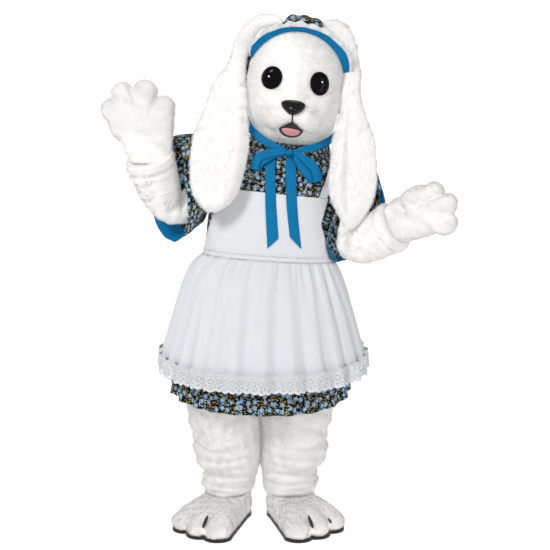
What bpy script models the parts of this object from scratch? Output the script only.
"""A worn rabbit costume, standing hollow as it is worn, with nobody inside.

A plush head with lop ears, a bonnet tied under the chin, a calico dress with wide short sleeves,
a white bib apron with a lace edge, and a fur suit with mitts and three-toed feet.

Metres, +Z up, front along -Y, so the wearer's right is at -X.  Every height in the tables is above
the floor.  All pieces hang from the empty `worn_origin`, which puts the point between the
wearer's shoulders at the origin.
"""

import math

import bmesh
import bpy
import numpy as np
from mathutils import Vector

# ---------------------------------------------------------------- driving dimensions
SHOULDER_HEIGHT = 1.38
SHOULDER_CENTRE = 0.100     # the wearer leans to the left, so the neck stands off the feet's middle
SEAM = 0.0003               # gap between two pieces that are sewn together
FUR_SEAM = 0.0012           # the same between two thick fur walls, which lean into each other
CLOTH = 0.0015              # cotton calico and apron cloth, a turned double layer at its edges
RIBBON = 0.0012
FUR = 0.008                 # plush and its backing
HEAD_WALL = 0.014           # plush over foam
SQUARE = 2.3                # roundness of the body sections: 2 is an ellipse, more is squarer

HEAD_CENTRE = np.array([0.118, -0.020, 1.584])
HEAD_LEAN = math.radians(6.5)
HEAD_HALF = np.array([0.175, 0.184, 0.218])
HEAD_SQUARE = 2.25
NECK_POLAR = math.radians(152)   # how far down from the crown the head's fur goes
NECK_TIP = math.radians(9)      # how far the neck's opening is turned towards the back
FRONT_DENSITY = 0.32             # how much the head's meridians crowd towards the face


# ---------------------------------------------------------------- tables and curves
def curve(keys, values, where):
    """A smooth curve through the points (keys, values) that never overshoots them."""
    keys = np.asarray(keys, float)
    values = np.asarray(values, float)
    gap = np.diff(keys)
    slope = np.diff(values) / gap
    tangent = np.concatenate([slope[:1], np.zeros(len(gap) - 1), slope[-1:]])
    product = slope[1:] * slope[:-1]
    total = np.where(product > 0, slope[1:] + slope[:-1], 1.0)
    tangent[1:-1] = np.where(product > 0, 2 * product / total, 0.0)
    at = np.clip(np.asarray(where, float), keys[0], keys[-1])
    i = np.clip(np.searchsorted(keys, at, side="right") - 1, 0, len(gap) - 1)
    t = (at - keys[i]) / gap[i]
    rise = t * t * (3 - 2 * t)
    start = t * (1 - t) ** 2 * gap[i] * tangent[i]
    end = t * t * (t - 1) * gap[i] * tangent[i + 1]
    return values[i] * (1 - rise) + values[i + 1] * rise + start + end


class Table:
    """Rows of sizes under named columns, read as smooth curves of the first column."""

    def __init__(self, names, *rows):
        self.names = names.split()
        self.rows = np.array(sorted(rows), float)
        self.first = self.rows[0, 0]
        self.last = self.rows[-1, 0]

    def read(self, name, where):
        return curve(self.rows[:, 0], self.rows[:, self.names.index(name)], where)

    def column(self, name):
        return self.rows[:, self.names.index(name)]


BODY = Table(
    "height  centre  half_width front  back   lean",
    (0.690,  0.008,  0.248,     0.185, 0.175,  0.0),
    (0.850,  0.018,  0.240,     0.180, 0.165, -2.5),
    (0.978,  0.026,  0.2345,    0.172, 0.150, -3.7),
    (1.120,  0.050,  0.243,     0.175, 0.150, -5.0),
    (1.250,  0.076,  0.232,     0.165, 0.145, -6.5),
    (1.320,  0.088,  0.200,     0.146, 0.128, -7.5),
    (1.360,  0.095,  0.160,     0.128, 0.112, -8.0),
    (1.385,  0.098,  0.124,     0.112, 0.098, -8.0),
)
DRESS_SKIRT = Table(
    "height  centre  half_width front  back   lean  fold",
    (0.486, -0.008,  0.328,     0.260, 0.243, -1.3, 0.0100),
    (0.550, -0.005,  0.317,     0.251, 0.235, -1.3, 0.0090),
    (0.640,  0.000,  0.301,     0.235, 0.219, -1.5, 0.0070),
    (0.780,  0.009,  0.277,     0.214, 0.195, -2.0, 0.0050),
    (0.900,  0.018,  0.255,     0.192, 0.170, -3.0, 0.0030),
    (0.970,  0.025,  0.2355,    0.1725, 0.1505, -3.64, 0.0006),
)
APRON_SKIRT = Table(
    "height  centre  half_width front  back   lean  fold",
    (0.620,  0.004,  0.368,     0.300, 0.278, -0.5, 0.0120),
    (0.680,  0.004,  0.350,     0.284, 0.262, -1.0, 0.0110),
    (0.760,  0.006,  0.328,     0.262, 0.236, -1.5, 0.0090),
    (0.857,  0.009,  0.298,     0.236, 0.208, -2.5, 0.0070),
    (0.935,  0.016,  0.266,     0.206, 0.180, -3.3, 0.0040),
    (0.9708, 0.025,  0.2410,    0.178, 0.156, -3.64, 0.0006),
)
# How far round from the front each half of a body panel reaches, in degrees: 90 is the side seam.
ARMHOLE = Table(
    "height  reach",
    (0.690,  90),
    (1.115,  90),
    (1.140,  76),
    (1.180,  65),
    (1.230,  60),
    (1.280,  62),
    (1.310,  72),
    (1.336,  90),
    (1.385,  90),
)
ARMHOLE_ROWS = (1.115, 1.140, 1.180, 1.230, 1.280, 1.310, 1.336)
BODICE_ROWS = (0.9705, 1.040) + ARMHOLE_ROWS + (1.360, 1.385)
NECK_DIP = {1.360: 0.008, 1.385: 0.030}      # how far the neckline drops at the middle front
SUIT_ROWS = (0.690, 0.850, 0.985) + ARMHOLE_ROWS + (1.3488,)
SUIT_INSET = -0.012          # the suit's fur lies this far inside the dress

LEG = Table(
    "height  outer   front  back   split_right split_left",
    (0.098,  0.205,  0.118, 0.072, 0.031,      0.007),
    (0.135,  0.219,  0.128, 0.082, 0.022,      0.005),
    (0.165,  0.214,  0.118, 0.080, 0.012,      0.003),
    (0.215,  0.243,  0.138, 0.104, 0.0004,     0.0004),
    (0.270,  0.250,  0.144, 0.120, 0.0004,     0.0004),
    (0.330,  0.258,  0.138, 0.122, 0.0004,     0.0004),
    (0.380,  0.271,  0.148, 0.135, 0.0004,     0.0004),
    (0.440,  0.277,  0.154, 0.142, 0.0004,     0.0004),
    (0.560,  0.264,  0.165, 0.155, 0.0004,     0.0004),
    (0.6880, 0.246,  0.180, 0.170, 0.0004,     0.0004),
)
LEG_MIDDLE = -0.004

EAR_RIGHT = Table(
    "along  x       y       z      half_width thick",
    (0.00,  0.078, -0.022,  1.8074, 0.012,    0.014),
    (0.05,  0.046, -0.022,  1.8175, 0.025,    0.023),
    (0.11,  0.003, -0.022,  1.816, 0.031,     0.025),
    (0.16, -0.036, -0.022,  1.792, 0.032,     0.025),
    (0.22, -0.064, -0.022,  1.748, 0.031,     0.025),
    (0.29, -0.085, -0.024,  1.694, 0.031,     0.026),
    (0.35, -0.095, -0.040,  1.650, 0.038,     0.029),
    (0.45, -0.114, -0.084,  1.584, 0.060,     0.031),
    (0.58, -0.125, -0.146,  1.485, 0.085,     0.033),
    (0.70, -0.138, -0.190,  1.398, 0.101,     0.034),
    (0.80, -0.148, -0.214,  1.325, 0.104,     0.035),
    (0.90, -0.160, -0.226,  1.238, 0.090,     0.034),
    (0.96, -0.170, -0.228,  1.184, 0.064,     0.031),
    (1.00, -0.178, -0.228,  1.148, 0.024,     0.012),
)
EAR_LEFT = Table(
    "along  x       y       z      half_width thick",
    (0.00,  0.203, -0.022,  1.800, 0.012,     0.014),
    (0.05,  0.228, -0.022,  1.801, 0.023,     0.023),
    (0.09,  0.256, -0.022,  1.796, 0.031,     0.025),
    (0.13,  0.286, -0.022,  1.777, 0.033,     0.025),
    (0.19,  0.310, -0.022,  1.738, 0.031,     0.025),
    (0.27,  0.325, -0.028,  1.688, 0.029,     0.026),
    (0.37,  0.327, -0.054,  1.627, 0.030,     0.030),
    (0.47,  0.319, -0.094,  1.549, 0.038,     0.032),
    (0.58,  0.321, -0.140,  1.461, 0.057,     0.032),
    (0.69,  0.321, -0.184,  1.367, 0.082,     0.033),
    (0.79,  0.318, -0.212,  1.291, 0.088,     0.034),
    (0.88,  0.314, -0.226,  1.219, 0.084,     0.034),
    (0.94,  0.313, -0.232,  1.160, 0.066,     0.032),
    (0.98,  0.309, -0.232,  1.115, 0.042,     0.024),
    (1.00,  0.305, -0.232,  1.090, 0.020,     0.012),
)

# Soft swellings of the face, pushed forward from the head's plain form.
FACE = Table(
    "across  up      push    wide   high",
    (-0.130, -0.080,  0.012, 0.045, 0.055),   # cheeks
    (-0.084,  0.008, -0.010, 0.040, 0.045),   # eye sockets
    (-0.060, -0.124,  0.026, 0.044, 0.042),   # muzzle, one side
    (-0.001, -0.060,  0.014, 0.036, 0.050),   # bridge of the nose
    (0.000,  -0.122,  0.050, 0.088, 0.062),   # muzzle
    (0.001,  -0.200,  0.026, 0.050, 0.026),   # chin
    (0.060,  -0.124,  0.026, 0.044, 0.042),
    (0.084,   0.008, -0.010, 0.040, 0.045),
    (0.130,  -0.080,  0.012, 0.045, 0.055),
)
EYES = Table(
    "across  up     half_width half_height dome   tilt",
    (-0.084, 0.015, 0.036,     0.040,      0.014, -14),
    (0.084,  0.013, 0.034,     0.041,      0.014,  10),
)


# ---------------------------------------------------------------- surfaces
def rounded(value, square):
    """A sine or cosine reshaped so that a circle becomes a rounded square."""
    return np.sign(value) * np.abs(value) ** (2 / square)


def section(table, height, turn, out=0.0):
    """Points round a table's sections: turn 0 is the front, +90 degrees the wearer's left.

    x = centre + (half_width + out) s^(2/n),  y = -(depth + out) c^(2/n),  z = height + lean
    """
    height, turn = np.broadcast_arrays(np.asarray(height, float), turn)
    across = rounded(np.sin(turn), SQUARE)
    ahead = rounded(np.cos(turn), SQUARE)
    depth = np.where(ahead > 0, table.read("front", height), table.read("back", height)) + out
    x = (table.read("half_width", height) + out) * across
    lean = np.tan(np.radians(table.read("lean", height)))
    centre = table.read("centre", height)
    return np.stack([centre + x, -depth * ahead, height + x * lean], axis=-1)


def pushed_clear(points, clearance):
    """The points, with any that lie in the torso moved straight out to `clearance` from it."""
    points = np.array(points, float)
    height = np.clip(points[..., 2], BODY.first, BODY.last)
    x = points[..., 0] - BODY.read("centre", height)
    y = points[..., 1]
    depth = np.where(y < 0, BODY.read("front", height), BODY.read("back", height)) + clearance
    width = BODY.read("half_width", height) + clearance
    reach = (np.abs(x / width) ** SQUARE + np.abs(y / depth) ** SQUARE) ** (1 / SQUARE)
    grow = np.where(points[..., 2] < BODY.last, 1 / np.clip(reach, 0.2, 1.0), 1.0)
    points[..., 0] += x * (grow - 1)
    points[..., 1] *= grow
    return points


def torso_front(x, height, out=0.0):
    """How far forward the torso's front lies at (x, height)."""
    level = height - (x - BODY.read("centre", height)) * np.tan(
        np.radians(BODY.read("lean", height))
    )
    width = BODY.read("half_width", level) + out
    off = np.clip(np.abs(x - BODY.read("centre", level)) / width, 0, 1)
    return -(BODY.read("front", level) + out) * (1 - off**SQUARE) ** (1 / SQUARE)


def head_place(local):
    """Head coordinates (across, deep, up) turned by the head's lean and set on the neck."""
    across, deep, up = np.moveaxis(np.asarray(local, float), -1, 0)
    x = across * math.cos(HEAD_LEAN) + up * math.sin(HEAD_LEAN)
    z = -across * math.sin(HEAD_LEAN) + up * math.cos(HEAD_LEAN)
    return np.stack([x, deep, z], axis=-1) + HEAD_CENTRE


def head_form(direction, out=0.0, face=True):
    """The head's surface along unit directions, in head coordinates.

    A rounded box of half sizes HEAD_HALF, with the FACE swellings pushed forward on its front.
    """
    share = np.sum(np.abs(direction / (HEAD_HALF + out)) ** HEAD_SQUARE, axis=-1)
    point = direction * share[..., None] ** (-1 / HEAD_SQUARE)
    if face:
        front = np.clip(-direction[..., 1] * 1.6, 0, 1)
        for across, up, push, wide, high in FACE.rows:
            near = ((point[..., 0] - across) / wide) ** 2 + ((point[..., 2] - up) / high) ** 2
            point[..., 1] -= push * front * np.exp(-near)
    return point


def head_front(across, up, out=0.0):
    """How far forward the face lies at (across, up), in head coordinates."""
    half = HEAD_HALF + out
    share = np.abs(across / half[0]) ** HEAD_SQUARE + np.abs(up / half[2]) ** HEAD_SQUARE
    deep = -half[1] * np.clip(1 - share, 0, 1) ** (1 / HEAD_SQUARE)
    length = np.sqrt(across**2 + deep**2 + up**2)
    front = np.clip(-deep / length * 1.6, 0, 1)
    for x, z, push, wide, high in FACE.rows:
        deep = deep - push * front * np.exp(-(((across - x) / wide) ** 2) - ((up - z) / high) ** 2)
    return deep


def edged(first, last, columns):
    """Even steps from first to last with a very narrow one at each end, which squares the edges."""
    edge = (last - first) / columns * 0.03
    return np.concatenate([[first], np.linspace(first + edge, last - edge, columns - 1), [last]])


def folds(turn, count, seed):
    """Uneven waves round a gathered cloth, between -1 and 1."""
    drift = 1.3 * np.sin(2 * turn + seed) + 0.8 * np.sin(3 * turn + 2.1 * seed)
    return np.sin(count * turn + drift) * (0.75 + 0.25 * np.sin(5 * turn + seed))


def along_curve(points, samples):
    """Points evenly spread along a smooth curve through hand-placed points."""
    points = np.asarray(points, float)
    steps = np.linalg.norm(np.diff(points, axis=0), axis=1)
    keys = np.concatenate([[0], np.cumsum(steps)]) / steps.sum()
    where = np.linspace(0, 1, samples)
    return np.stack([curve(keys, points[:, k], where) for k in range(points.shape[1])], axis=-1)


def bent_path(start, corner, end, bend, samples):
    """A limb's centre line: two straight runs joined by an arc of radius `bend` at the corner."""
    start, corner, end = (np.array(p, float) for p in (start, corner, end))
    into = (corner - start) / np.linalg.norm(corner - start)
    out = (end - corner) / np.linalg.norm(end - corner)
    half_turn = math.acos(np.clip(into @ out, -1, 1)) / 2
    cut = bend * math.tan(half_turn)
    side = (out - into) / np.linalg.norm(out - into)
    pivot = corner + side * bend / math.cos(half_turn)
    angles = np.linspace(-half_turn, half_turn, 5)
    forward = (into + out) / np.linalg.norm(into + out)
    arc = [pivot + bend * (math.sin(a) * forward - math.cos(a) * side) for a in angles]
    first = [start + (corner - into * cut - start) * k / 3 for k in range(3)]
    last = [end + (corner + out * cut - end) * k / 3 for k in (2, 1, 0)]
    return along_curve(first + arc + last, samples)


# ---------------------------------------------------------------- making objects
def new_material(name, colour, roughness, coat=0.0):
    material = bpy.data.materials.new(name)
    material.use_nodes = True
    shader = material.node_tree.nodes["Principled BSDF"]
    shader.inputs["Base Color"].default_value = (*colour, 1)
    shader.inputs["Roughness"].default_value = roughness
    shader.inputs["Metallic"].default_value = 0.0
    shader.inputs["Coat Weight"].default_value = coat
    return material


def finish_object(name, mesh, material):
    mesh.materials.append(material)
    mesh.shade_smooth()
    mesh.set_sharp_from_angle(angle=math.radians(60))
    made = bpy.data.objects.new(name, mesh)
    costume.objects.link(made)
    made.parent = worn_origin
    return made


def thicken(made, wall):
    """A wall of this thickness, grown inwards from the surface."""
    solidify = made.modifiers.new("wall", "SOLIDIFY")
    solidify.thickness = wall
    solidify.offset = -1
    solidify.use_even_offset = False
    return made


def sheet(name, grid, wall, material, inside, closed=False):
    """A cloth wall over a grid of points; `inside` is a point on the wall's inner side."""
    rows, columns = grid.shape[:2]
    mesh = bpy.data.meshes.new(name)
    last = columns if closed else columns - 1
    faces = [
        (i * columns + j, i * columns + (j + 1) % columns,
         (i + 1) * columns + (j + 1) % columns, (i + 1) * columns + j)
        for i in range(rows - 1)
        for j in range(last)
    ]
    mesh.from_pydata(grid.reshape(-1, 3).tolist(), [], faces)
    mesh.update()
    middle = Vector(inside)
    outward = sum(face.normal.dot(face.center - middle) * face.area for face in mesh.polygons)
    if outward < 0:
        mesh.flip_normals()
    return thicken(finish_object(name, mesh, material), wall)


def ball(name, segments, rings, place, material, keep=None, wall=None, facing=False,
         matched=False):
    """A sphere whose points `place` moves to their real places, cut open where `keep` is false.

    Its poles are up and down, or at the front and back when it is `facing`.  The two halves of a
    `matched` one are split into triangles alike, so that a thin piece never crosses itself.
    """
    shape = bmesh.new()
    bmesh.ops.create_uvsphere(shape, u_segments=segments, v_segments=rings, radius=1)
    directions = np.array([vertex.co for vertex in shape.verts])
    if facing:
        directions = directions[:, [0, 2, 1]] * (1, -1, 1)
    if matched:
        for way, method in ((1, "FIXED"), (-1, "ALTERNATE")):
            half = [face for face in shape.faces if face.calc_center_median().z * way > 0]
            bmesh.ops.triangulate(shape, faces=half, quad_method=method)
    if keep is not None:
        kept = keep(directions)
        gone = [vertex for vertex, stays in zip(shape.verts, kept) if not stays]
        bmesh.ops.delete(shape, geom=gone, context="VERTS")
        directions = directions[kept]
    for vertex, point in zip(shape.verts, place(directions)):
        vertex.co = point
    mesh = bpy.data.meshes.new(name)
    shape.to_mesh(mesh)
    shape.free()
    made = finish_object(name, mesh, material)
    return thicken(made, wall) if wall else made


def strip(name, path, across, width, wall, material, inside, columns=1):
    """A ribbon or band along a path: `across` is its width direction at each point."""
    across = np.broadcast_to(across, path.shape)
    across = across / np.linalg.norm(across, axis=-1, keepdims=True)
    reach = np.linspace(-0.5, 0.5, columns + 1)
    grid = path[:, None] + across[:, None] * reach[None, :, None] * np.reshape(width, (-1, 1, 1))
    return sheet(name, grid, wall, material, inside)


# ---------------------------------------------------------------- head
def crowd_forward(direction):
    """Turns the meridians towards the face, so that the face has the finer steps."""
    turn = np.arctan2(direction[:, 0], -direction[:, 1])
    turn = turn - FRONT_DENSITY * np.sin(turn)
    flat = np.hypot(direction[:, 0], direction[:, 1])
    return np.stack([flat * np.sin(turn), -flat * np.cos(turn), direction[:, 2]], axis=-1)


def tipped_back(direction):
    """Turns the sphere so that its lower pole, the neck's opening, points down and back."""
    cos, sin = math.cos(NECK_TIP), math.sin(NECK_TIP)
    x, y, z = direction.T
    return np.stack([x, y * cos - z * sin, y * sin + z * cos], axis=-1)


def make_head():
    ball(
        "head_shell", 26, 15,
        lambda d: head_place(head_form(tipped_back(crowd_forward(d)))),
        fur_white,
        keep=lambda d: d[:, 2] > math.cos(NECK_POLAR),
        wall=HEAD_WALL,
    )


def face_patch(name, centre, half, dome, gap, material, tilt=0.0, taper=0.0, segments=14, rings=4):
    """A domed piece that lies on the face: its back follows the fur, its front bulges."""
    cos, sin = math.cos(math.radians(tilt)), math.sin(math.radians(tilt))

    def place(d):
        wide = half[0] * d[:, 0] * (1 + taper * d[:, 2])
        high = half[1] * d[:, 2]
        across = centre[0] + wide * cos - high * sin
        up = centre[1] + wide * sin + high * cos
        deep = head_front(across, up) - gap - dome * np.clip(-d[:, 1], 0, 1)
        return head_place(np.stack([across, deep, up], axis=-1))

    return ball(name, segments, rings, place, material, facing=True, matched=True)


def make_face():
    for side, row in zip(("right", "left"), EYES.rows):
        across, up, half_width, half_height, dome, tilt = row
        face_patch(f"eye_{side}", (across, up), (half_width, half_height), dome, 0.0023,
                   gloss_black, tilt)
    face_patch("nose", (0.001, -0.080), (0.042, 0.026), 0.026, 0.0018, gloss_black, 0, 0.35)
    face_patch("mouth_lining", (0.004, -0.154), (0.038, 0.030), 0.0026, 0.0026, dark_felt,
               0, -0.55)
    face_patch("tongue", (0.004, -0.160), (0.030, 0.015), 0.004, 0.0062, tongue_pink, 0, 0.1)


def ear_grid(table, mirror, rows, columns):
    """Rings of a lop ear: a rolled inner edge standing in front of a broad flat flap.

    The ring's plane is square to the ear's run in the front view, its depth along y.
    """
    along = np.linspace(0, 1, rows)
    centre = np.stack([table.read(name, along) for name in ("x", "y", "z")], axis=-1)
    half = table.read("half_width", along)
    thick = table.read("thick", along)
    run = np.gradient(centre, axis=0)
    run[:, 1] = 0
    run /= np.linalg.norm(run, axis=1, keepdims=True)
    side = np.stack([-run[:, 2], np.zeros(rows), run[:, 0]], axis=-1) * mirror
    turn = np.linspace(0, 2 * math.pi, columns, endpoint=False)
    across = rounded(np.cos(turn), 2.4)
    deep = rounded(np.sin(turn), 2.4)
    broad = np.clip((half - 0.035) / 0.06, 0, 1)[:, None]
    roll = np.exp(-(((across[None] - 0.62) / 0.34) ** 2))
    thickness = thick[:, None] * (1 - 0.38 * broad + 0.75 * broad * roll)
    back = thick[:, None] * (1 - 0.30 * broad)
    y = np.where(deep > 0, -thickness * deep, -back * deep)
    spread = half[:, None] * across[None]
    grid = centre[:, None] + side[:, None] * spread[..., None]
    grid[..., 1] += y
    return grid


def closed_tube(name, grid, material):
    """A padded piece: rings joined in turn and drawn together at both ends."""
    rows, columns = grid.shape[:2]
    ends = [grid[0].mean(axis=0), grid[-1].mean(axis=0)]
    mesh = bpy.data.meshes.new(name)
    points = np.concatenate([grid.reshape(-1, 3), ends])
    faces = []
    for j in range(columns):
        k = (j + 1) % columns
        faces += [(i * columns + j, i * columns + k, (i + 1) * columns + k, (i + 1) * columns + j)
                  for i in range(rows - 1)]
        faces.append((rows * columns, k, j))
        faces.append((rows * columns + 1, (rows - 1) * columns + j, (rows - 1) * columns + k))
    mesh.from_pydata(points.tolist(), [], faces)
    shape = bmesh.new()
    shape.from_mesh(mesh)
    bmesh.ops.recalc_face_normals(shape, faces=shape.faces)
    shape.to_mesh(mesh)
    shape.free()
    return finish_object(name, mesh, material)


def make_ears():
    closed_tube("ear_right", ear_grid(EAR_RIGHT, 1, 19, 12), fur_white)
    closed_tube("ear_left", ear_grid(EAR_LEFT, -1, 19, 12), fur_white)


# ---------------------------------------------------------------- bonnet
BRIM_RADIUS = 0.186
BRIM_OUTER = 0.200                 # at the top; the blue lining shows wider at the sides
BRIM_SIDE = 0.014
FRILL_WIDTH = 0.018
BRIM_WIDE = 0.960                  # the brim is a little narrower than it is high
BRIM_FROM = math.radians(-64)      # how far the brim comes down on each side, from the top
BRIM_TO = math.radians(66)
CROWN_REACH = math.radians(112)
CROWN_GAP = (math.radians(-1), math.radians(11))    # the crown's middle and reach between the ears
CROWN = Table(
    "along  radius  deep    drop",   # from the ears (0) to the back of the head (1)
    (0.00,  0.2230,  0.032, 0.000),
    (0.14,  0.2310,  0.046, 0.002),
    (0.34,  0.2300,  0.080, 0.006),
    (0.55,  0.2130,  0.124, 0.018),
    (0.75,  0.1640,  0.172, 0.036),
    (0.90,  0.0880,  0.206, 0.056),
    (1.00,  0.0180,  0.214, 0.076),
)
CROWN_TOP = Table(                   # the same, in the middle, where it puffs up behind the brim
    "along  radius  deep",
    (0.00,  0.2150, -0.112),
    (0.14,  0.2410, -0.076),
    (0.28,  0.2560, -0.030),
    (0.42,  0.2520,  0.030),
    (0.60,  0.2060,  0.130),
    (0.75,  0.1640,  0.174),
    (0.90,  0.0880,  0.206),
    (1.00,  0.0180,  0.214),
)
CROWN_NARROW = 0.09                  # how much closer the crown lies at the sides than on top


def brim_depth(angle):
    """The brim lies on the fur: further forward at the top of the head than at the sides."""
    across = BRIM_WIDE * BRIM_RADIUS * np.sin(angle)
    up = BRIM_RADIUS * np.cos(angle)
    return np.minimum(head_front(across, up) - 0.0022, -0.024)


def brim_ring(angle, radius, deep, drop=0.0):
    """Points round the brim; angle 0 is the top of the head, + the wearer's left."""
    angle, radius, deep, drop = np.broadcast_arrays(angle, radius, deep, drop)
    return head_place(np.stack([BRIM_WIDE * radius * np.sin(angle), deep,
                                radius * np.cos(angle) - drop], -1))


def make_bonnet():
    angle = np.linspace(BRIM_FROM, BRIM_TO, 21)[None]
    depth = brim_depth(angle)
    edge = BRIM_OUTER + BRIM_SIDE * np.sin(angle) ** 2
    lining = np.concatenate([
        brim_ring(angle, BRIM_RADIUS, depth),
        brim_ring(angle, edge, depth - 0.012),
    ])
    sheet("bonnet_brim_lining", lining, CLOTH, ribbon_blue, HEAD_CENTRE)

    fine = np.linspace(BRIM_FROM, BRIM_TO, 39)[None]
    depth = np.interp(fine, angle[0], depth[0])
    edge = np.interp(fine, angle[0], edge[0])
    ruffle = np.where(np.arange(39) % 2, 1.0, -1.0)[None]
    frill = np.concatenate([
        brim_ring(fine, edge + 0.0006, depth - 0.0124),
        brim_ring(fine, edge + FRILL_WIDTH, depth - 0.0165 - 0.0040 * ruffle),
    ])
    sheet("bonnet_frill", frill, CLOTH, apron_white, HEAD_CENTRE)

    angle = np.linspace(-CROWN_REACH, CROWN_REACH, 27)[None]
    rows = np.linspace(0, 1, 8)[:, None]
    middle = np.clip(1.6 - np.abs(angle - CROWN_GAP[0]) / CROWN_GAP[1], 0, 1)
    middle = middle * middle * (3 - 2 * middle)
    side_radius = CROWN.read("radius", rows) * (1 - CROWN_NARROW * np.sin(angle) ** 2)
    radius = side_radius * (1 - middle) + CROWN_TOP.read("radius", rows) * middle
    deep = CROWN.read("deep", rows) * (1 - middle) + CROWN_TOP.read("deep", rows) * middle
    crown = brim_ring(angle, radius, deep, CROWN.read("drop", rows))
    sheet("bonnet_crown", crown, CLOTH, calico, HEAD_CENTRE)


# ---------------------------------------------------------------- dress
def panel_grid(rows, columns, out, back=False, seam=SEAM):
    """One half of the torso's cloth, front or back, with its armholes at the side edges."""
    heights = np.array(rows)[:, None]
    reach = np.radians(ARMHOLE.read("reach", heights)) - seam / 2 / 0.24
    turn = edged(-1, 1, columns)[None] * reach
    if back:
        turn = math.pi - turn
    grid = section(BODY, heights, turn, out)
    dip = np.array([NECK_DIP.get(height, 0.0) for height in rows])[:, None]
    grid[..., 2] -= dip * np.clip(np.cos(turn), 0, 1) ** 1.5
    return grid


def torso_inside(height):
    return np.array([float(BODY.read("centre", height)), 0.0, height])


def make_bodice():
    inside = torso_inside(1.15)
    sheet("bodice_front", panel_grid(BODICE_ROWS, 10, 0.0), CLOTH, calico, inside)
    sheet("bodice_back", panel_grid(BODICE_ROWS, 10, 0.0, True), CLOTH, calico, inside)


def skirt_grid(table, rows, columns, first, last, count, seed, out=0.0, droop=0.0):
    """A gathered skirt between two turns: waves that deepen from the waist to the hem."""
    heights = np.linspace(table.last, table.first, rows + 1)[:, None]
    down = (table.last - heights) / (table.last - table.first)
    turn = edged(first, last, columns)[None]
    wave = folds(turn, count, seed) * table.read("fold", heights)
    grid = section(table, heights, turn, out)
    ahead = np.stack([np.sin(turn), -np.cos(turn), np.zeros_like(turn)], axis=-1)
    grid = grid + ahead * wave[..., None]
    grid[..., 2] -= droop * down * np.cos(turn)
    return grid


def make_dress_skirt():
    side = math.pi / 2 - SEAM / 2 / 0.24
    inside = np.array([0.0, 0.0, 0.7])
    front = skirt_grid(DRESS_SKIRT, 4, 30, -side, side, 22, 0.4, droop=0.053)
    back = skirt_grid(DRESS_SKIRT, 4, 30, math.pi - side, math.pi + side, 22, 0.4,
                      droop=0.053)
    sheet("skirt_front", front, CLOTH, calico, inside)
    sheet("skirt_back", back, CLOTH, calico, inside)


SLEEVES = {
    # mirror, opening's centre, its long half axis, its short half axis towards the front, puff,
    # and how far the sleeve's head stands up over the shoulder
    "right": (-1, (-0.350, 0.006, 1.203), (-0.010, 0.0, 0.184), (0.066, -0.100, 0.0), 0.026, 0.022),
    "left": (1, (0.345, -0.062, 1.082), (0.098, 0.032, 0.114), (-0.046, -0.078, 0.066), 0.038,
             0.040),
}
SLEEVE_ROWS = 4
SLEEVE_CLEAR = 0.016         # the sleeve's cloth and its facing stand this far off the fur arm
FACING_SHARES = (0.0, 0.75)
FACING_DEPTH = {"right": 0.0040, "left": 0.0056}    # how far the facing stands inside the sleeve


def armhole_ring(mirror, out=0.0, halfway=True, gap=2 * SEAM):
    """The edge of an armhole from its foot up the front and down the back, a seam's gap outside."""
    heights = np.array(ARMHOLE_ROWS)
    reach = np.radians(ARMHOLE.read("reach", heights)) - SEAM / 2 / 0.24
    front = section(BODY, heights, mirror * reach, out)
    back = section(BODY, heights, mirror * (math.pi - reach), out)
    ring = np.concatenate([front[:-1], back[:0:-1]])
    ring[..., 0] += mirror * gap
    if not halfway:
        return ring
    between = (ring + np.roll(ring, -1, axis=0)) / 2
    return np.stack([ring, between], axis=1).reshape(-1, 3)


def pushed_from_arm(points, name, clearance):
    """The points, with any that lie nearer the arm's fur than `clearance` moved out to it."""
    mirror, shoulder, corner, wrist = ARMS[name]
    path = bent_path(shoulder, corner, wrist, ARM_BEND, 60)
    radius = ARM_SIZE.read("across", np.linspace(0, 1, len(path))) + clearance
    away = points[..., None, :] - path
    share = np.linalg.norm(away, axis=-1) / radius
    nearest = np.argmin(share, axis=-1)[..., None]
    near = np.take_along_axis(share, nearest, axis=-1)
    away = np.take_along_axis(away, nearest[..., None], axis=-2)[..., 0, :]
    return points + away * (1 / np.clip(near, 0.2, 1.0) - 1)


def sleeve_grid(name, rows=SLEEVE_ROWS):
    mirror, centre, long_axis, short_axis, puff, head = SLEEVES[name]
    ring = armhole_ring(mirror)
    count = len(ring)
    turn = np.arange(count) / count * 2 * math.pi
    opening = (
        np.array(centre)
        - np.outer(np.cos(turn), long_axis)
        + np.outer(np.sin(turn), short_axis)
    )
    share = np.linspace(0, 1, rows + 1)[:, None, None]
    ease = share * share * (3 - 2 * share) * 0.4 + share * 0.6
    grid = ring[None] * (1 - ease) + opening[None] * ease
    middle = grid.mean(axis=1, keepdims=True)
    away = grid - middle
    away /= np.linalg.norm(away, axis=-1, keepdims=True)
    arch = np.sin(share * math.pi)
    grid = grid + away * puff * arch
    top = np.clip(-np.cos(turn), 0, 1)[None]
    grid[..., 2] += head * top * arch[..., 0]
    grid[1:] = pushed_clear(pushed_from_arm(grid[1:], name, SLEEVE_CLEAR), 0.012)
    return grid


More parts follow.
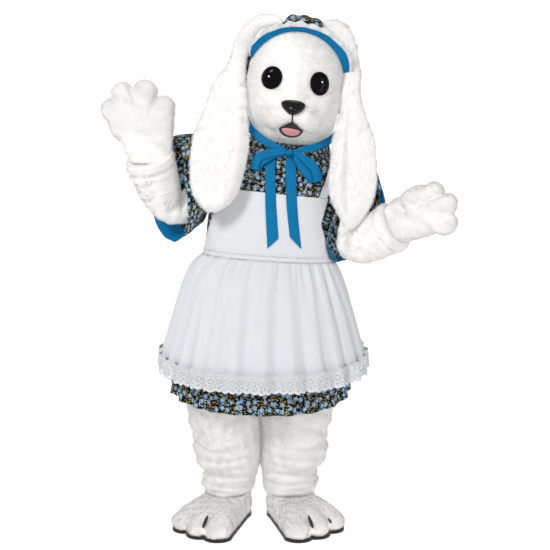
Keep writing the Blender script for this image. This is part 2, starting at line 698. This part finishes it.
def make_sleeves():
    for name in ("right", "left"):
        grid = sleeve_grid(name)
        inside = grid.mean(axis=(0, 1))
        sheet(f"sleeve_{name}", grid, CLOTH, calico, inside, closed=True)
        edge = np.stack([grid[-1] * (1 - s) + grid[-2] * s for s in FACING_SHARES])
        round_edge = np.roll(edge, -1, axis=1) - np.roll(edge, 1, axis=1)
        inward = np.cross(round_edge, grid[-1] - grid[-2])
        inward /= np.linalg.norm(inward, axis=-1, keepdims=True)
        middle = edge.mean(axis=1, keepdims=True)
        inward *= np.sign(np.sum(inward * (middle - edge), axis=(1, 2)))[:, None, None]
        centred = (middle - edge) / np.linalg.norm(middle - edge, axis=-1, keepdims=True)
        inward = inward + 1.1 * centred
        inward /= np.linalg.norm(inward, axis=-1, keepdims=True)
        gather = 0.003 * (np.arange(edge.shape[1]) % 2)
        depth = FACING_DEPTH[name] + np.array([0.0, 0.0014])[:, None] + gather[None]
        facing = edge + inward * depth[..., None]
        sheet(f"sleeve_facing_{name}", facing, CLOTH, ribbon_blue, inside, closed=True)


# ---------------------------------------------------------------- apron
BIB = Table(
    "height   right_reach left_reach",        # degrees round from the front, on each side
    (0.9866,  80,         63),
    (1.0400,  72,         52),
    (1.0870,  66,         42),
    (1.1180,  60,         38),
    (1.1600,  54,         39),
    (1.2060,  51,         41),
)
BAND = (0.9712, 0.9862)      # the waistband's lower and upper edge
STRAPS = {
    # height and degrees round from the front, up the front, over the shoulder and down the back
    "right": ((1.2080, 44.5), (1.270, 49), (1.330, 61), (1.368, 84), (1.356, 104), (1.300, 124),
              (1.230, 136), (1.120, 148), (0.9900, 156)),
    "left": ((1.2080, 34.5), (1.270, 40), (1.330, 53), (1.368, 82), (1.356, 104), (1.300, 124),
             (1.230, 136), (1.120, 148), (0.9900, 156)),
}
STRAP_OUT = 0.0095
STRAP_SEAT = 0.0079            # at both ends, where the strap is sewn to the bib and the waistband
APRON_OUT = 0.0060           # the bib's outer face over the bodice
APRON_BACK = math.radians(152)
APRON_DROOP = 0.042          # how much lower the hem hangs at the front than at the sides


def make_bib():
    heights = BIB.column("height")[:, None]
    side = np.linspace(-1, 1, 11)[None]
    reach = np.where(side < 0, BIB.read("right_reach", heights), BIB.read("left_reach", heights))
    grid = section(BODY, heights, side * np.radians(reach), APRON_OUT)
    sheet("apron_bib", grid, CLOTH, apron_white, torso_inside(1.1))


def make_straps():
    inside = torso_inside(1.2)
    for name, mirror in (("right", -1), ("left", 1)):
        path = along_curve(STRAPS[name], 19)
        centre = section(BODY, path[:, 0], mirror * np.radians(path[:, 1]), STRAP_OUT)
        run = np.gradient(centre, axis=0)
        across = np.cross(run, centre - inside) * mirror
        across /= np.linalg.norm(across, axis=1, keepdims=True)
        reach = np.array([-0.018, 0.0, 0.018])
        grid = centre[:, None] + across[:, None] * reach[None, :, None]
        grid = pushed_clear(grid, STRAP_OUT)
        start = np.radians(path[0, 1] + np.array([-4.2, 0.0, 4.2]))
        end = np.radians(path[-1, 1] + np.array([-4.2, 0.0, 4.2]))
        grid[0] = section(BODY, BIB.last + 2 * SEAM, mirror * start, STRAP_SEAT)
        grid[-1] = section(BODY, BAND[1] + 4 * SEAM, mirror * end, STRAP_SEAT)
        sheet(f"apron_strap_{name}", grid, CLOTH, apron_white, inside)


def make_apron_skirt():
    turn = np.linspace(-APRON_BACK, APRON_BACK, 33)[None]
    band = section(BODY, np.array(BAND)[:, None], turn, APRON_OUT)
    inside = torso_inside(0.97)
    sheet("apron_waistband", band, CLOTH, apron_white, inside)
    skirt = skirt_grid(APRON_SKIRT, 4, 68, -APRON_BACK, APRON_BACK, 26, 1.1, droop=APRON_DROOP)
    sheet("apron_skirt", skirt, CLOTH, apron_white, np.array([0.0, 0.0, 0.75]))


LACE_WAVES = 34


def make_lace():
    """A gathered edging: flat at its header, in even waves at its scalloped edge."""
    columns = 2 * LACE_WAVES
    turn = np.linspace(-APRON_BACK, APRON_BACK, columns + 1)[None]
    zigzag = np.where(np.arange(columns + 1) % 2, 1.0, -1.0)[None, :, None]
    ahead = np.stack([np.sin(turn), -np.cos(turn), np.zeros_like(turn)], axis=-1)
    edge = APRON_SKIRT.first
    hem = section(APRON_SKIRT, edge, turn)
    hem = hem + ahead * (folds(turn, 26, 1.1) * APRON_SKIRT.read("fold", edge))[..., None]
    hem[..., 2] -= APRON_DROOP * np.cos(turn)
    grid = np.concatenate([
        hem + ahead * (0.0088 + 0.0010 * zigzag) + (0, 0, 0.014),
        hem + ahead * (0.0100 + 0.0040 * zigzag) + (0, 0, -0.018),
        hem + ahead * (0.0120 + 0.0055 * zigzag) + (0, 0, -0.054),
    ])
    sheet("apron_lace", grid, CLOTH, apron_white, np.array([0.0, 0.0, 0.6]))


# ---------------------------------------------------------------- ribbon and ties
KNOT = np.array([0.099, -0.172, 1.352])


def lies_on_torso(x, z, out):
    return torso_front(x, z, 0.0) - out


def band_grid(side, mirror):
    """A ribbon along the jaw: each row's points keep clear in front of the fur behind them."""
    spots = [(BAND_START[side], -0.2270, -0.148), (0.046, -0.2110, -0.146), (0.088, -0.1880, -0.132),
             (0.130, -0.1560, -0.100), (0.154, -0.1300, -0.070), (0.168, -0.1050, -0.050)]
    path = along_curve(spots, 12)
    path[:, 0] = mirror * path[:, 0] + 0.004
    run = np.gradient(path[:, :2], axis=0)
    run /= np.linalg.norm(run, axis=1, keepdims=True)
    half = BAND_WIDTH / 2 * np.clip(0.45 + np.arange(12) / 5, 0, 1)
    edges = []
    for side in (-1, 1):
        across = path[:, 0] - side * run[:, 1] * half
        up = path[:, 1] + side * run[:, 0] * half
        deep = np.minimum(head_front(across, up) - 0.0038, path[:, 2])
        edges.append(head_place(np.stack([across, deep, up], axis=-1)))
    return np.stack(edges, axis=1)


def loop_grid(out_route, back_route, width):
    """A bow's loop: the ribbon runs out flat, turns back behind itself and returns to the knot."""
    out = along_curve(out_route, 7)
    back = along_curve(back_route, 7)
    run = np.gradient(out, axis=0)
    run /= np.linalg.norm(run, axis=1, keepdims=True)
    side = np.stack([-run[:, 1], run[:, 0]], axis=-1)
    tip = (out[-1] + back[-1]) / 2 + run[-1] * 0.004
    flat = np.concatenate([out, [tip], back[::-1]])
    side = np.concatenate([side, side[-1:], side[::-1]])
    behind = np.concatenate([np.zeros(7), [0.5], np.ones(7)])
    half = width / 2 * np.concatenate([np.linspace(0.5, 1, 4), np.ones(7), np.linspace(1, 0.5, 4)])
    edges = []
    for edge in (-1, 1):
        x = KNOT[0] + flat[:, 0] + edge * side[:, 0] * half
        z = KNOT[2] + flat[:, 1] + edge * side[:, 1] * half
        y = np.minimum(torso_front(x, np.minimum(z, 1.345)) - LOOP_OUT, KNOT[1] - 0.002)
        edges.append(np.stack([x, y + LOOP_DEPTH * behind, z], axis=-1))
    return np.stack(edges, axis=1)


BAND_WIDTH = 0.024
TAIL_BEHIND = 0.0092                 # from the knot's middle back to the tails
BAND_START = {"right": 0.0078, "left": 0.0150}      # where each band leaves the knot
LOOP_OUT = 0.034
LOOP_DEPTH = 0.010
LOOPS = {
    # from the knot outwards, as x and z: the front layer and the layer behind it
    "right": (((-0.0140, 0.002), (-0.054, -0.001), (-0.090, -0.009), (-0.116, -0.030),
               (-0.122, -0.056)),
              ((-0.016, -0.004), (-0.050, -0.008), (-0.084, -0.020), (-0.108, -0.040),
               (-0.114, -0.060))),
    "left": (((0.0152, 0.000), (0.040, -0.014), (0.074, -0.040), (0.095, -0.072),
              (0.098, -0.098)),
             ((0.014, -0.008), (0.032, -0.034), (0.052, -0.062), (0.070, -0.086),
              (0.082, -0.102))),
}


def make_neck_ribbon():
    """Two bands along the jaw, a knot, two loops and two tails that hang over the bib."""
    ball("ribbon_knot", 10, 6, lambda d: KNOT + d * (0.014, 0.010, 0.011), ribbon_blue)
    for side, mirror in (("right", -1), ("left", 1)):
        sheet(f"ribbon_band_{side}", band_grid(side, mirror), RIBBON, ribbon_blue, HEAD_CENTRE)
    for side, (out_route, back_route) in LOOPS.items():
        grid = loop_grid(out_route, back_route, 0.030)
        sheet(f"ribbon_loop_{side}", grid, RIBBON, ribbon_blue, grid.mean(axis=(0, 1)))

    tails = {
        # top left, top right, bottom left, bottom right corners, as x and z, then the ends of the
        # edge that is caught behind the knot
        "right": ((0.012, 0.048, 1.338, 1.334), (0.021, 0.060, 1.016, 1.052),
                  (0.089, 0.095, 1.357, 1.347)),
        "left": ((0.086, 0.122, 1.334, 1.338), (0.100, 0.141, 1.056, 1.012),
                 (0.102, 0.108, 1.347, 1.357)),
    }
    for side, (top, bottom, caught) in tails.items():
        down = np.linspace(0, 1, 9)[:, None]
        over = np.array([0.0, 0.5, 1.0])[None]
        start_x, start_z = top[0] + (top[1] - top[0]) * over, top[2] + (top[3] - top[2]) * over
        end_x = bottom[0] + (bottom[1] - bottom[0]) * over
        end_z = bottom[2] + (bottom[3] - bottom[2]) * over
        sway = -0.006 * np.sin(down * math.pi) * (1 if side == "left" else 0.4)
        x = start_x * (1 - down) + end_x * down + sway
        z = start_z * (1 - down) + end_z * down
        y = lies_on_torso(x, z, 0.0093) + 0.0015 * np.sin(down * 9 + over * 2)
        first = np.stack([np.linspace(caught[0], caught[1], 3), np.full(3, KNOT[1] + TAIL_BEHIND),
                          np.linspace(caught[2], caught[3], 3)], axis=-1)
        grid = np.concatenate([first[None], np.stack([x, y, z], axis=-1)])
        sheet(f"ribbon_tail_{side}", grid, RIBBON, ribbon_blue, torso_inside(1.2))


def make_back_bow():
    """The apron's ties meet in a flat bow over the gap at the back of the waist."""
    level = 0.976
    centre = section(BODY, level, math.pi, 0.0)
    knot = centre + (0, 0.0185, 0)
    ball("apron_tie_knot", 10, 6, lambda d: knot + d * (0.018, 0.010, 0.016), apron_white)
    for side, mirror in (("right", -1), ("left", 1)):
        route = [(0.0160, 0.005), (0.060, 0.030), (0.105, 0.020), (0.118, -0.012),
                 (0.095, -0.034), (0.055, -0.024), (0.0168, -0.005)]
        flat = along_curve(route, 13)
        x = knot[0] + mirror * flat[:, 0]
        z = knot[2] + flat[:, 1]
        y = np.full_like(x, knot[1] + 0.010)
        path = np.stack([x, y, z], axis=-1)
        strip(f"apron_tie_loop_{side}", path, (0, 1, 0), 0.030, CLOTH, apron_white,
              path.mean(axis=0))
        tail = along_curve([(0.018, -0.0158), (0.026, -0.080), (0.036, -0.160), (0.042, -0.240)], 9)
        x = knot[0] + mirror * tail[:, 0]
        z = knot[2] + tail[:, 1]
        back = DRESS_SKIRT.read("back", z) + DRESS_SKIRT.read("fold", z)
        y = np.maximum(back + 0.0024, knot[1])
        strip(f"apron_tie_tail_{side}", np.stack([x, y, z], axis=-1), (1, 0, 0), 0.030, CLOTH,
              apron_white, np.array([0, 0, 0.8]))


# ---------------------------------------------------------------- fur suit
ARMS = {
    # mirror, shoulder, elbow corner, wrist
    "right": (-1, (-0.180, 0.006, 1.262), (-0.326, 0.008, 1.074), (-0.396, -0.122, 1.332)),
    "left": (1, (0.330, -0.010, 1.215), (0.296, -0.130, 0.998), (0.462, -0.236, 1.098)),
}
ARM_BEND = 0.062
ARM_SIZE = Table(
    "along  across deep",
    (0.00,  0.060, 0.058),
    (0.30,  0.058, 0.056),
    (0.48,  0.058, 0.056),
    (0.60,  0.069, 0.064),
    (0.70,  0.080, 0.073),
    (0.80,  0.085, 0.077),
    (0.87,  0.086, 0.078),
    (0.90,  0.088, 0.080),
    (0.93,  0.098, 0.090),
    (0.97,  0.0976, 0.0906),
    (1.00,  0.0925, 0.0865),
)
ARM_CLEAR = 0.034            # between the dress's side and the arm, where the sleeve hangs


def limb_rings(path, size, mirror, columns):
    """Rings square to a limb's centre line, from the side next to the body round by the front."""
    along = np.linspace(0, 1, len(path))
    run = np.gradient(path, axis=0)
    run /= np.linalg.norm(run, axis=1, keepdims=True)
    across = mirror * np.cross(run, (0.0, 1.0, 0.0))
    across /= np.linalg.norm(across, axis=1, keepdims=True)
    front = -mirror * np.cross(across, run)
    turn = np.linspace(0, 2 * math.pi, columns, endpoint=False)
    wide = (size.read("across", along)[:, None] * -np.cos(turn)[None])[..., None]
    thick = (size.read("deep", along)[:, None] * np.sin(turn)[None])[..., None]
    return path[:, None] + across[:, None] * wide + front[:, None] * thick


def arm_grid(name):
    """From the suit's armhole, out through the dress's, round the elbow to a rolled cuff."""
    mirror, shoulder, corner, wrist = ARMS[name]
    seam_ring = armhole_ring(mirror, SUIT_INSET, halfway=False, gap=FUR_SEAM)
    middle = seam_ring.mean(axis=0)
    through = middle + (seam_ring - middle) * 0.80 + (mirror * 0.020, 0, 0)
    path = bent_path(shoulder, corner, wrist, ARM_BEND, 12)
    rings = pushed_clear(limb_rings(path, ARM_SIZE, mirror, len(seam_ring)), ARM_CLEAR)
    return np.concatenate([[seam_ring, through], rings])


def make_suit():
    inside = torso_inside(1.15)
    front = panel_grid(SUIT_ROWS, 7, SUIT_INSET, seam=FUR_SEAM)
    back = panel_grid(SUIT_ROWS, 7, SUIT_INSET, True, FUR_SEAM)
    sheet("suit_front", front, FUR, fur_white, inside)
    sheet("suit_back", back, FUR, fur_white, inside)
    for name in ARMS:
        grid = arm_grid(name)
        made = sheet(f"suit_arm_{name}", grid, FUR, fur_white, grid[0].mean(axis=0), closed=True)
        turn_outward(made, grid)


def turn_outward(made, grid):
    """Turns a bent tube's faces away from its own centre line."""
    columns = grid.shape[1]
    middles = grid.mean(axis=1)
    total = 0.0
    for index, face in enumerate(made.data.polygons):
        middle = (middles[index // columns] + middles[index // columns + 1]) / 2
        total += face.normal.dot(face.center - Vector(middle)) * face.area
    if total < 0:
        made.data.flip_normals()


def make_legs():
    """Baggy legs that meet at the middle plane, with soft rolls at the knee and the ankle."""
    heights = (np.linspace(0, 1, 10) ** 1.15 * (LEG.last - LEG.first) + LEG.first)[:, None]
    turn = np.linspace(0, 2 * math.pi, 16, endpoint=False)[None]
    across = rounded(np.sin(turn), 2.2)
    ahead = rounded(np.cos(turn), 2.2)
    depth = np.where(ahead > 0, LEG.read("front", heights), LEG.read("back", heights))
    for name, mirror in (("right", -1), ("left", 1)):
        outer = LEG.read("outer", heights) + (0.006 if name == "right" else 0.0)
        inner = LEG.read(f"split_{name}", heights)
        x = (outer + inner) / 2 + (outer - inner) / 2 * across
        grid = np.stack([LEG_MIDDLE + mirror * x, -depth * ahead,
                         np.broadcast_to(heights, x.shape)], axis=-1)
        inside = np.array([LEG_MIDDLE + mirror * 0.12, 0, 0.4])
        sheet(f"suit_leg_{name}", grid, FUR, fur_white, inside, closed=True)


# ---------------------------------------------------------------- mitts and feet
def lobe_reach(angle, lobes):
    """How far the outline of overlapping circles reaches from the origin along each angle."""
    reach = np.zeros_like(angle)
    for across, up, radius in lobes:
        distance = math.hypot(across, up)
        bearing = np.arctan2(across, up)
        off = distance * np.sin(angle - bearing)
        inside = radius**2 - off**2
        far = distance * np.cos(angle - bearing) + np.sqrt(np.clip(inside, 0, None))
        reach = np.maximum(reach, np.where(inside > 0, far, 0))
    return reach


MITTS = {
    # centre of the palm, the way across, the way to the fingertips, half thickness
    "right": ((-0.431, -0.122, 1.460), (1.0, 0.0, 0.0), (0.0, 0.0, 1.0), 0.056),
    "left": ((0.540, -0.285, 1.160), (0.0, 0.0, 1.0), (0.80, -0.60, 0.0), 0.058),
}
MITT_LOBES = {
    # across, up, radius: from the palm's centre
    "right": ((-0.092, 0.038, 0.044), (-0.057, 0.096, 0.043), (0.022, 0.096, 0.050),
              (0.092, 0.050, 0.041), (0.072, -0.012, 0.050), (-0.018, 0.010, 0.098),
              (0.026, -0.070, 0.088), (0.042, -0.140, 0.077)),
    "left": ((0.062, 0.056, 0.036), (0.022, 0.104, 0.040), (-0.040, 0.098, 0.047),
             (-0.006, 0.010, 0.092), (-0.036, -0.060, 0.080), (-0.062, -0.120, 0.074)),
}
MITT_BUMPS = {
    "right": (),
    "left": ((0.038, -0.030, 0.026, 0.030, 0.046),),     # the thumb, folded over the palm
}
MITT_CUFF = {"right": -0.150, "left": -0.118}
FINGER_DENSITY = 0.42        # how much the mitt's outline crowds its points towards the fingers


def mitt_point(name, d):
    """A flattened ball whose outline is the reach of the lobes, thick to near its edge."""
    centre, across, up, half_thick = MITTS[name]
    normal = np.cross(up, across)
    normal = normal * -np.sign(normal[1])
    angle = np.arctan2(d[:, 0], d[:, 2])
    angle = angle - FINGER_DENSITY * np.sin(angle)
    off = lobe_reach(angle, MITT_LOBES[name]) * np.clip(np.hypot(d[:, 0], d[:, 2]), 0, 1)
    x, z = off * np.sin(angle), off * np.cos(angle)
    lift = half_thick * np.sign(-d[:, 1]) * np.abs(d[:, 1]) ** 0.8
    lift = lift * (1 + 0.15 * np.clip(-z / 0.12, 0, 1))
    for bx, bz, push, wide, high in MITT_BUMPS[name]:
        near = np.exp(-(((x - bx) / wide) ** 2) - ((z - bz) / high) ** 2)
        lift = lift + push * near * np.clip(-d[:, 1], 0, 1)
    return np.array(centre) + np.outer(x, across) + np.outer(z, up) + np.outer(lift, normal)


def make_mitts():
    for name, (centre, across, up, half_thick) in MITTS.items():
        made = ball(f"mitt_{name}", 34, 6, lambda d, name=name: mitt_point(name, d), fur_white,
                    facing=True)
        shape = bmesh.new()
        shape.from_mesh(made.data)
        edge = np.array(centre) + np.array(up) * MITT_CUFF[name]
        bmesh.ops.bisect_plane(shape, geom=shape.verts[:] + shape.edges[:] + shape.faces[:],
                               plane_co=edge, plane_no=[-part for part in up], clear_outer=True)
        bmesh.ops.recalc_face_normals(shape, faces=shape.faces)
        palm = Vector(centre)
        outward = sum(face.normal.dot(face.calc_center_median() - palm) for face in shape.faces)
        if outward < 0:
            bmesh.ops.reverse_faces(shape, faces=shape.faces)
        shape.to_mesh(made.data)
        shape.free()
        thicken(made, FUR)


FEET = {
    # ankle's centre, the way the toes point in degrees outwards, mirror
    "right": (-0.124, -0.020, 18, -1),
    "left": (0.100, -0.020, 18, 1),
}
FOOT_LOBES = (
    # across, ahead, radius: from the ankle's centre; + across is the outer side
    (0.086, 0.212, 0.050),
    (0.016, 0.250, 0.053),
    (-0.054, 0.262, 0.054),
    (0.026, 0.150, 0.092),
    (-0.036, 0.140, 0.058),
    (0.006, 0.010, 0.093),
)
ANKLE = (0.088, 0.090, 0.096)     # half width, half depth, height
SOLE = 0.012
FOOT_COLUMNS = 28
TOE_DENSITY = 0.35           # how much the foot's outline crowds its points towards the toes
SLIT_START, SLIT_LENGTH, SLIT_WIDTH, SLIT_LEVEL = 0.9, 0.55, 0.16, 0.03
TOE_SLITS = {
    # degrees round from straight ahead, + to the outer side, its length as a share of 1, its lift
    "right": ((-3.0, 1.0, 0.0042),),
    "left": ((-3.0, 1.0, 0.0042), (12.5, 0.45, 0.0031)),
}


def foot_point(name, angle, share, out=0.0):
    """A foot's surface: from the sole's edge (0) up over the toes and the instep to the ankle (1)."""
    x, y, splay, mirror = FEET[name]
    splay = math.radians(splay)
    ahead = np.array([mirror * math.sin(splay), -math.cos(splay), 0])
    outer = np.array([mirror * math.cos(splay), math.sin(splay), 0])
    angle, share = np.broadcast_arrays(angle, share)
    reach = lobe_reach(angle, FOOT_LOBES) + out
    ankle = 1 / np.sqrt((np.sin(angle) / ANKLE[0]) ** 2 + (np.cos(angle) / ANKLE[1]) ** 2)
    swing = share * math.pi / 2
    across = ankle + (reach - ankle) * np.cos(swing) ** 0.85
    bulge = 0.004 + 0.045 * (reach - ankle)
    across = across + bulge * np.sin(np.clip(share * 2.4, 0, 1) * math.pi)
    height = SOLE + SEAM + (ANKLE[2] - SOLE) * np.sin(swing) ** 0.8
    return (
        np.array([x, y, 0.0])
        + (across * np.sin(angle))[..., None] * outer
        + (across * np.cos(angle))[..., None] * ahead
        + height[..., None] * np.array([0, 0, 1.0])
    )


def made_columns():
    angle = np.linspace(0, 2 * math.pi, FOOT_COLUMNS, endpoint=False)
    return angle - TOE_DENSITY * np.sin(angle)


def on_grid(grid, column, row):
    """Points on a closed grid's faces at these places, counted in columns and rows."""
    rows, columns = grid.shape[:2]
    i = np.clip(np.floor(row).astype(int), 0, rows - 2)
    j = np.floor(column).astype(int)
    down, over = (row - i)[:, None], (column - j)[:, None]
    near = grid[i, j % columns] * (1 - over) + grid[i, (j + 1) % columns] * over
    far = grid[i + 1, j % columns] * (1 - over) + grid[i + 1, (j + 1) % columns] * over
    return near * (1 - down) + far * down


def make_feet():
    for name, (x, y, splay, mirror) in FEET.items():
        grid = foot_point(name, made_columns()[None], np.linspace(0, 1, 5)[:, None])
        grid[0, :, 2] += 2 * SEAM
        inside = grid.mean(axis=(0, 1)) - (0, 0, 0.02)
        sheet(f"foot_{name}", grid, FUR, fur_white, inside, closed=True)
        make_sole(name, grid[0])
        for number, (around, length, lift) in enumerate(TOE_SLITS[name], 1):
            def place(d, around=around, length=length, lift=lift):
                column = around / (1 - TOE_DENSITY) / 360 * FOOT_COLUMNS + SLIT_WIDTH * d[:, 0]
                points = on_grid(grid, column, SLIT_START + SLIT_LENGTH * length * (1 + d[:, 2]))
                away = points - (x, y, SLIT_LEVEL)
                away /= np.linalg.norm(away, axis=1, keepdims=True)
                return points + away * (lift + 0.0022 * np.clip(-d[:, 1], 0, 1))[:, None]

            made = ball(f"toe_slit_{name}_{number}", 8, 4, place, dark_felt, facing=True)
            if mirror < 0:
                made.data.flip_normals()


def make_sole(name, outline):
    line = bpy.data.curves.new(f"sole_{name}", "CURVE")
    line.dimensions = "2D"
    line.fill_mode = "BOTH"
    line.extrude = SOLE / 2
    spline = line.splines.new("POLY")
    spline.points.add(len(outline) - 1)
    for point, corner in zip(spline.points, outline):
        point.co = (corner[0], corner[1], 0, 1)
    spline.use_cyclic_u = True
    line.materials.append(dark_felt)
    made = bpy.data.objects.new(f"sole_{name}", line)
    made.location = (0, 0, SOLE / 2)
    costume.objects.link(made)
    made.parent = worn_origin


# ---------------------------------------------------------------- the costume
for old in list(bpy.data.objects):
    bpy.data.objects.remove(old)

costume = bpy.data.collections.new("rabbit_costume")
bpy.context.scene.collection.children.link(costume)
worn_origin = bpy.data.objects.new("worn_origin", None)
worn_origin.location = (-SHOULDER_CENTRE, 0, -SHOULDER_HEIGHT)
costume.objects.link(worn_origin)

fur_white = new_material("fur_white", (0.82, 0.80, 0.77), 0.9)
calico = new_material("calico", (0.03, 0.06, 0.09), 0.75)
apron_white = new_material("apron_white", (0.82, 0.82, 0.88), 0.8)
ribbon_blue = new_material("ribbon_blue", (0.0, 0.21, 0.51), 0.5)
gloss_black = new_material("gloss_black", (0.01, 0.01, 0.01), 0.15, 0.5)
dark_felt = new_material("dark_felt", (0.015, 0.014, 0.014), 0.8)
tongue_pink = new_material("tongue_pink", (0.85, 0.38, 0.40), 0.6)

make_head()
make_face()
make_ears()
make_bonnet()
make_bodice()
make_dress_skirt()
make_sleeves()
make_bib()
make_straps()
make_apron_skirt()
make_lace()
make_neck_ribbon()
make_back_bow()
make_suit()
make_legs()
make_mitts()
make_feet()
